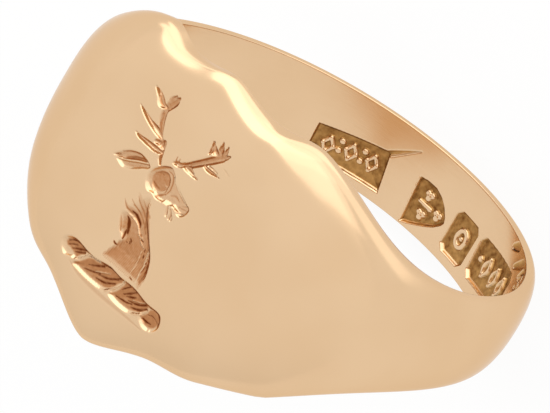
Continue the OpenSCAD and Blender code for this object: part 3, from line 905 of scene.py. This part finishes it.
def gold_material(name, finish, cut_colour, cut_dark, cut_rough):
    """Polished 9 ct rose gold: a warm pale mirror, softened by hairlines from the buff.
    Where a tool has cut it, the metal is matt and coloured darker brown, as painted shade
    in the crest's cuts and as darker floors in the struck marks."""
    material, tree = new_material(name)
    place = add_node(tree, "ShaderNodeTexCoord").outputs["Object"]
    worked = add_node(tree, "ShaderNodeAttribute", attribute_name="worked").outputs["Fac"]
    # Slightly redder clouds in the gold.
    cloud = add_node(tree, "ShaderNodeTexNoise", {
        "Vector": place, "Scale": 1 / (CLOUD * MM), "Detail": 2.0}).outputs["Fac"]
    cloud = add_node(tree, "ShaderNodeMapRange", {
        "Value": cloud, "From Min": 0.35, "From Max": 0.65}).outputs["Result"]
    plain = add_node(tree, "ShaderNodeMix", {
        "Factor": cloud, 6: rgba(finish.gold), 7: rgba(finish.gold_shade)},
        data_type="RGBA").outputs[2]
    # Darkening in the cuts, painted shade in the crest, broken into grains by the tool marks.
    grain = add_node(tree, "ShaderNodeTexNoise", {
        "Vector": place, "Scale": 1 / (SHADE_GRAIN * MM), "Detail": 3.0}).outputs["Fac"]
    grain = add_node(tree, "ShaderNodeMapRange", {
        "Value": grain, "From Min": 0.25, "From Max": 0.75,
        "To Min": 0.75, "To Max": 1.2}).outputs["Result"]
    depth = add_node(tree, "ShaderNodeMath", {0: worked, 1: grain},
                     operation="MULTIPLY").outputs[0]
    shade_ramp = add_node(tree, "ShaderNodeValToRGB", {"Fac": depth})
    shade_start, shade_end = shade_ramp.color_ramp.elements
    shade_start.position, shade_start.color = FULL_CUT, rgba(cut_colour)
    shade_end.position, shade_end.color = 1.0, rgba(cut_dark)
    share = add_node(tree, "ShaderNodeMapRange", {
        "Value": depth, "From Min": 0.0, "From Max": FULL_CUT}).outputs["Result"]
    colour = add_node(tree, "ShaderNodeMix", {
        "Factor": share, 6: plain, 7: shade_ramp.outputs["Color"]}, data_type="RGBA").outputs[2]
    # Hairlines of the polish run round the finger.
    long, apart = HAIRLINE
    lines = add_node(tree, "ShaderNodeMapping", {
        "Vector": place, "Scale": (1 / long, 1 / apart, 1 / long)}).outputs["Vector"]
    lines = add_node(tree, "ShaderNodeTexNoise", {
        "Vector": lines, "Scale": 1 / MM, "Detail": 2.0}).outputs["Fac"]
    polish = add_node(tree, "ShaderNodeMapRange", {
        "Value": lines, "From Min": 0.3, "From Max": 0.7,
        "To Min": finish.polish - 0.02, "To Max": finish.polish + 0.03}).outputs["Result"]
    rough = add_node(tree, "ShaderNodeMix", {0: share, 2: polish, 3: cut_rough},
                     data_type="FLOAT").outputs[0]
    bump = add_node(tree, "ShaderNodeBump", {
        "Height": lines, "Strength": 0.15, "Distance": HAIRLINE_DEEP * MM}).outputs["Normal"]
    shader = add_node(tree, "ShaderNodeBsdfPrincipled", {
        "Base Color": colour, "Metallic": 1.0, "Roughness": rough,
        "Specular Tint": rgba(finish.edge), "Normal": bump})
    add_node(tree, "ShaderNodeOutputMaterial", {"Surface": shader.outputs[0]})
    return material


def backdrop_material(name, colour):
    """Seamless white paper: plain diffuse, and plain white to the camera and to the metal,
    except for a trace of the object's shadow."""
    material, tree = new_material(name)
    paths = add_node(tree, "ShaderNodeLightPath").outputs
    seen = add_node(tree, "ShaderNodeMath",
                    {0: paths["Is Camera Ray"], 1: paths["Is Glossy Ray"]},
                    operation="MAXIMUM").outputs[0]
    seen = add_node(tree, "ShaderNodeMath", {0: seen, 1: paths["Is Transmission Ray"]},
                    operation="MAXIMUM").outputs[0]
    seen = add_node(tree, "ShaderNodeMath", {0: seen, 1: 1 - SHADOW_SHARE},
                    operation="MULTIPLY").outputs[0]
    fibre = add_node(tree, "ShaderNodeTexNoise", {
        "Vector": add_node(tree, "ShaderNodeTexCoord").outputs["Object"],
        "Scale": 1 / (FIBRE * MM), "Detail": 3.0}).outputs["Fac"]
    paper = add_node(tree, "ShaderNodeMix", {
        "Factor": fibre, 6: rgba(colour), 7: rgba(tuple(0.97 * v for v in colour))},
        data_type="RGBA").outputs[2]
    matt = add_node(tree, "ShaderNodeBsdfDiffuse", {"Color": paper}).outputs[0]
    glow = add_node(tree, "ShaderNodeEmission", {"Color": (1, 1, 1, 1), "Strength": 1.0}).outputs[0]
    both = add_node(tree, "ShaderNodeMixShader", {0: seen, 1: matt, 2: glow}).outputs[0]
    add_node(tree, "ShaderNodeOutputMaterial", {"Surface": both})
    return material


# ---------------------------------------------------------------- operators

# Columns of the meshes, in degrees: they are finer beside a seam and over the waved edges,
# and one cell apart under the cuts.
END_RUN, END_STEP = 2.0, 0.4
TABLE_ANGLES, TABLE_STEP = (-34, 34), 0.8
SHOULDER_STEP, SHANK_STEP = 2.2, 1.6
CREST_ANGLES, MARK_ANGLES = (-15.2, 17.4), (122, 217)
CREST_ROUGH, MARK_ROUGH, SEAM_ROUGH = 0.34, 0.45, 0.2   # roughness of the worked metal


def spaced(*parts):
    """Numbers along a line from (from, to, step) parts, with no number twice."""
    runs = [np.linspace(a, b, max(2, int(round(abs(b - a) / step)) + 1))
            for a, b, step in parts]
    return np.concatenate([run[:-1] for run in runs] + [runs[-1][-1:]])


def seam_angles(s):
    """Where a solder seam begins and ends: its angle less and plus half its width, taken
    at the middle of the shank's thickness."""
    half = np.degrees(s.seam_t / 2 / (s.finger_r + s.shank_t / 2))
    return s.seam_angle - half, s.seam_angle + half


class RING_OT_head(bpy.types.Operator):
    """Build the struck head, its table engraved with the crest"""

    bl_idname = "signet_ring.head"
    bl_label = "Head"
    bl_options = {"REGISTER", "UNDO"}

    def execute(self, context):
        scene = context.scene
        s, cuts, finish = scene.ring_sizes, scene.ring_cuts, scene.ring_finish
        end = seam_angles(s)[0]
        cell = np.degrees(cuts.cell / (s.finger_r + s.table_t))
        (low, high), (left, right) = TABLE_ANGLES, CREST_ANGLES
        angles = spaced((-end, END_RUN - end, END_STEP), (END_RUN - end, low, SHOULDER_STEP),
                        (low, left, TABLE_STEP), (left, right, cell),
                        (right, high, TABLE_STEP), (high, end - END_RUN, SHOULDER_STEP),
                        (end - END_RUN, end, END_STEP))
        rows = int(FLAT_SHARE * s.table_w / cuts.cell)
        grid, worked = ring_points(angles, rows, PLAIN_ROWS, s,
                                   crown_cut=lambda x, y: crest(x, y, cuts.crest_depth))
        mesh = closed_mesh("engraved_head", grid, worked)
        material = gold_material("polished_9ct_rose_gold_engraved", finish, finish.cut_gold,
                                 finish.cut_dark, CREST_ROUGH)
        place_piece("engraved_head", mesh, material, "signet_head")
        return {"FINISHED"}


class RING_OT_shank(bpy.types.Operator):
    """Build the narrow shank, with the marks struck inside it"""

    bl_idname = "signet_ring.shank"
    bl_label = "Shank"
    bl_options = {"REGISTER", "UNDO"}

    def execute(self, context):
        scene = context.scene
        s, cuts, finish = scene.ring_sizes, scene.ring_cuts, scene.ring_finish
        start = seam_angles(s)[1]
        cell = np.degrees(cuts.cell / s.finger_r)
        low, high = MARK_ANGLES
        end = 360 - start
        angles = spaced((start, start + END_RUN, END_STEP), (start + END_RUN, low, SHANK_STEP),
                        (low, high, cell), (high, end - END_RUN, SHANK_STEP),
                        (end - END_RUN, end, END_STEP))
        rows = int(s.shank_w / cuts.cell)
        grid, worked = ring_points(angles, SHANK_ROWS, rows, s,
                                   bore_cut=lambda x, y: struck_marks(x, y, cuts.punch_depth))
        mesh = closed_mesh("struck_shank", grid, worked)
        material = gold_material("polished_9ct_rose_gold_struck", finish, finish.punch_ground,
                                 finish.punch_dark, MARK_ROUGH)
        place_piece("struck_shank", mesh, material, "shank")
        return {"FINISHED"}


class RING_OT_seams(bpy.types.Operator):
    """Build the two solder seams, polished flush"""

    bl_idname = "signet_ring.seams"
    bl_label = "Solder seams"
    bl_options = {"REGISTER", "UNDO"}

    def execute(self, context):
        s, finish = context.scene.ring_sizes, context.scene.ring_finish
        material = gold_material("polished_9ct_gold_solder", finish, finish.solder,
                                 finish.solder, SEAM_ROUGH)
        for side, node in ((1, "solder_seam_right"), (-1, "solder_seam_left")):
            ends = sorted(side * angle for angle in seam_angles(s))
            mesh = closed_mesh(node.replace("solder", "flush"), *ring_points(
                np.linspace(*ends, SEAM_COLUMNS), SEAM_ROWS, PLAIN_ROWS, s))
            place_piece(mesh.name, mesh, material, node)
        return {"FINISHED"}


# Soft boxes. The upright ones: middle and half size along X, and share of the brightness.
UPRIGHT_Y, UPRIGHT_HIGH, UPRIGHT_GAP = 60, 110, 1   # where they stand, how high, off the floor
UPRIGHT_BOXES = (
    ("upright_soft_box", -36, 28, 1.0),
    ("middle_soft_box", 6, 14, 0.85),
    ("side_soft_box", 32, 12, 0.65),
    ("end_soft_box", 77, 33, 0.45),
)
# The ones that lie on the floor: from and to along X, the near side, and the brightness.
LYING_FAR, LYING_GAP = 58, 0.5                      # their far side, and off the floor
LYING_BOXES = (
    ("corner_soft_box", -72, -30, 37, 1.0),
    ("low_soft_box", -30, -12, 25, 1.0),
    ("side_low_soft_box", -12, 12, 20, 0.8),
    ("end_low_soft_box", 12, 38, 14, 0.4),
)


def look_at(place, aim, roll):
    """Turn of a camera at place towards aim: its back points from aim to place, its right is
    +Y crossed with the back, and both then turn by roll about the back."""
    back = (place - aim).normalized()
    right = Vector((0, 1, 0)).cross(back).normalized()
    up = back.cross(right)
    turn = Matrix.Rotation(np.radians(roll), 3, back)
    columns = Matrix((turn @ right, turn @ up, back)).transposed()
    return columns.to_4x4()


def add_lamp(name, power, size, place, aim):
    """A soft box that faces its aim. Power in W, size and places in mm."""
    lamp = bpy.data.lights.new(name, "AREA")
    lamp.shape = "RECTANGLE"
    lamp.size, lamp.size_y = size[0] * MM, size[1] * MM
    lamp.energy = power
    thing = bpy.data.objects.new(name, lamp)
    bpy.context.scene.collection.objects.link(thing)
    thing.visible_camera = False
    place, aim = Vector(place) * MM, Vector(aim) * MM
    turn = (place - aim).to_track_quat("Z", "Y").to_matrix().to_4x4()
    thing.matrix_world = Matrix.Translation(place) @ turn


def light_tent(world, tent_light):
    """The world as a white tent: plain white to the camera. To the metal it is a little
    weaker on the -Y side, and a little stronger towards +Y and -X."""
    world.use_nodes = True
    tree = world.node_tree
    tree.nodes.clear()
    paths = add_node(tree, "ShaderNodeLightPath").outputs
    towards = add_node(tree, "ShaderNodeSeparateXYZ", {
        0: add_node(tree, "ShaderNodeTexCoord").outputs["Generated"]}).outputs
    level = add_node(tree, "ShaderNodeMapRange", {
        "Value": towards["Y"], "From Min": -0.9, "From Max": -0.2,
        "To Min": 0.9, "To Max": 1.02}).outputs["Result"]
    glow = add_node(tree, "ShaderNodeMapRange", {
        "Value": towards["Y"], "From Min": 0.2, "From Max": 0.6,
        "To Min": 0.0, "To Max": 0.2}, interpolation_type="SMOOTHSTEP").outputs["Result"]
    side = add_node(tree, "ShaderNodeMapRange", {
        "Value": towards["X"], "From Min": -0.9, "From Max": -0.5},
        interpolation_type="SMOOTHSTEP").outputs["Result"]
    glow = add_node(tree, "ShaderNodeMath", {0: glow, 1: side},
                    operation="MULTIPLY").outputs[0]
    level = add_node(tree, "ShaderNodeMath", {0: level, 1: glow}).outputs[0]
    level = add_node(tree, "ShaderNodeMath", {0: level, 1: tent_light},
                     operation="MULTIPLY").outputs[0]
    strength = add_node(tree, "ShaderNodeMix", {0: paths["Is Camera Ray"], 2: level, 3: 1.0},
                        data_type="FLOAT").outputs[0]
    tent = add_node(tree, "ShaderNodeBackground", {
        "Color": (1, 1, 1, 1), "Strength": strength}).outputs[0]
    add_node(tree, "ShaderNodeOutputWorld", {"Surface": tent})


class RING_OT_stage(bpy.types.Operator):
    """Set up the camera, the white tent, the soft boxes and the floor"""

    bl_idname = "signet_ring.stage"
    bl_label = "Stage"
    bl_options = {"REGISTER", "UNDO"}

    def execute(self, context):
        scene, t = context.scene, context.scene.ring_studio
        place, aim = Vector(t.camera_place) * MM, Vector(t.camera_aim) * MM
        lens = bpy.data.cameras.new("camera")
        lens.lens, lens.sensor_width = t.lens, t.sensor
        lens.clip_start, lens.clip_end = 0.01, 20
        camera = bpy.data.objects.new("camera", lens)
        scene.collection.objects.link(camera)
        camera.matrix_world = Matrix.Translation(place) @ look_at(place, aim, t.camera_roll)
        scene.camera = camera

        floor_z = CAD_BOUNDS[0][2]
        half = t.floor_size * MM / 2
        mesh = bpy.data.meshes.new("floor")
        mesh.from_pydata([(-half, -half, floor_z), (half, -half, floor_z),
                          (half, half, floor_z), (-half, half, floor_z)], [], [(0, 1, 2, 3)])
        floor = bpy.data.objects.new("floor", mesh)
        scene.collection.objects.link(floor)
        mesh.materials.append(backdrop_material("white_paper", srgb("#F2F1EF")))

        # Power of a lamp for each square mm: pi times its radiance.
        radiance = np.pi * MM * MM * t.lamp_light
        floor_mm = floor_z / MM
        z = floor_mm + (UPRIGHT_GAP + UPRIGHT_HIGH / 2)
        for name, middle, half_x, share in UPRIGHT_BOXES:
            add_lamp(name, share * radiance * 2 * half_x * UPRIGHT_HIGH,
                     (2 * half_x, UPRIGHT_HIGH), (middle, UPRIGHT_Y, z), (middle, 0, z))
        for name, left, right, near, share in LYING_BOXES:
            wide, deep = right - left, LYING_FAR - near
            x, y = (left + right) / 2, (near + LYING_FAR) / 2
            add_lamp(name, share * radiance * wide * deep, (wide, deep),
                     (x, y, floor_mm + LYING_GAP), (x, y, 100))
        scene.world = scene.world or bpy.data.worlds.new("tent")
        light_tent(scene.world, t.tent_light)
        scene.view_settings.view_transform = "Standard"
        return {"FINISHED"}


class RING_PT_panel(bpy.types.Panel):
    """Sizes, finish and build steps of the signet ring"""

    bl_idname = "RING_PT_panel"
    bl_label = "Signet Ring"
    bl_space_type = "VIEW_3D"
    bl_region_type = "UI"
    bl_category = "Signet Ring"

    def draw(self, context):
        for name in GROUPS:
            group = getattr(context.scene, name)
            box = self.layout.box()
            for value in group.__annotations__:
                box.prop(group, value)
        for step in STEPS:
            self.layout.operator(step.bl_idname)


# ---------------------------------------------------------------- running it

STEPS = (RING_OT_head, RING_OT_shank, RING_OT_seams, RING_OT_stage)
GROUPS = {"ring_sizes": RingSizes, "ring_cuts": EngravingSizes, "ring_finish": RingFinish,
          "ring_studio": StudioSettings}


def register():
    for group in GROUPS.values():
        bpy.utils.register_class(group)
    for name, group in GROUPS.items():
        setattr(bpy.types.Scene, name, PointerProperty(type=group))
    for step in (*STEPS, RING_PT_panel):
        bpy.utils.register_class(step)


def unregister():
    for step in reversed((*STEPS, RING_PT_panel)):
        bpy.utils.unregister_class(step)
    for name in GROUPS:
        delattr(bpy.types.Scene, name)
    for group in reversed(GROUPS.values()):
        bpy.utils.unregister_class(group)


def main():
    """Registers the add-on and runs its steps in order."""
    register()
    bpy.ops.signet_ring.head()
    bpy.ops.signet_ring.shank()
    bpy.ops.signet_ring.seams()
    bpy.ops.signet_ring.stage()


if __name__ == "__main__":
    main()
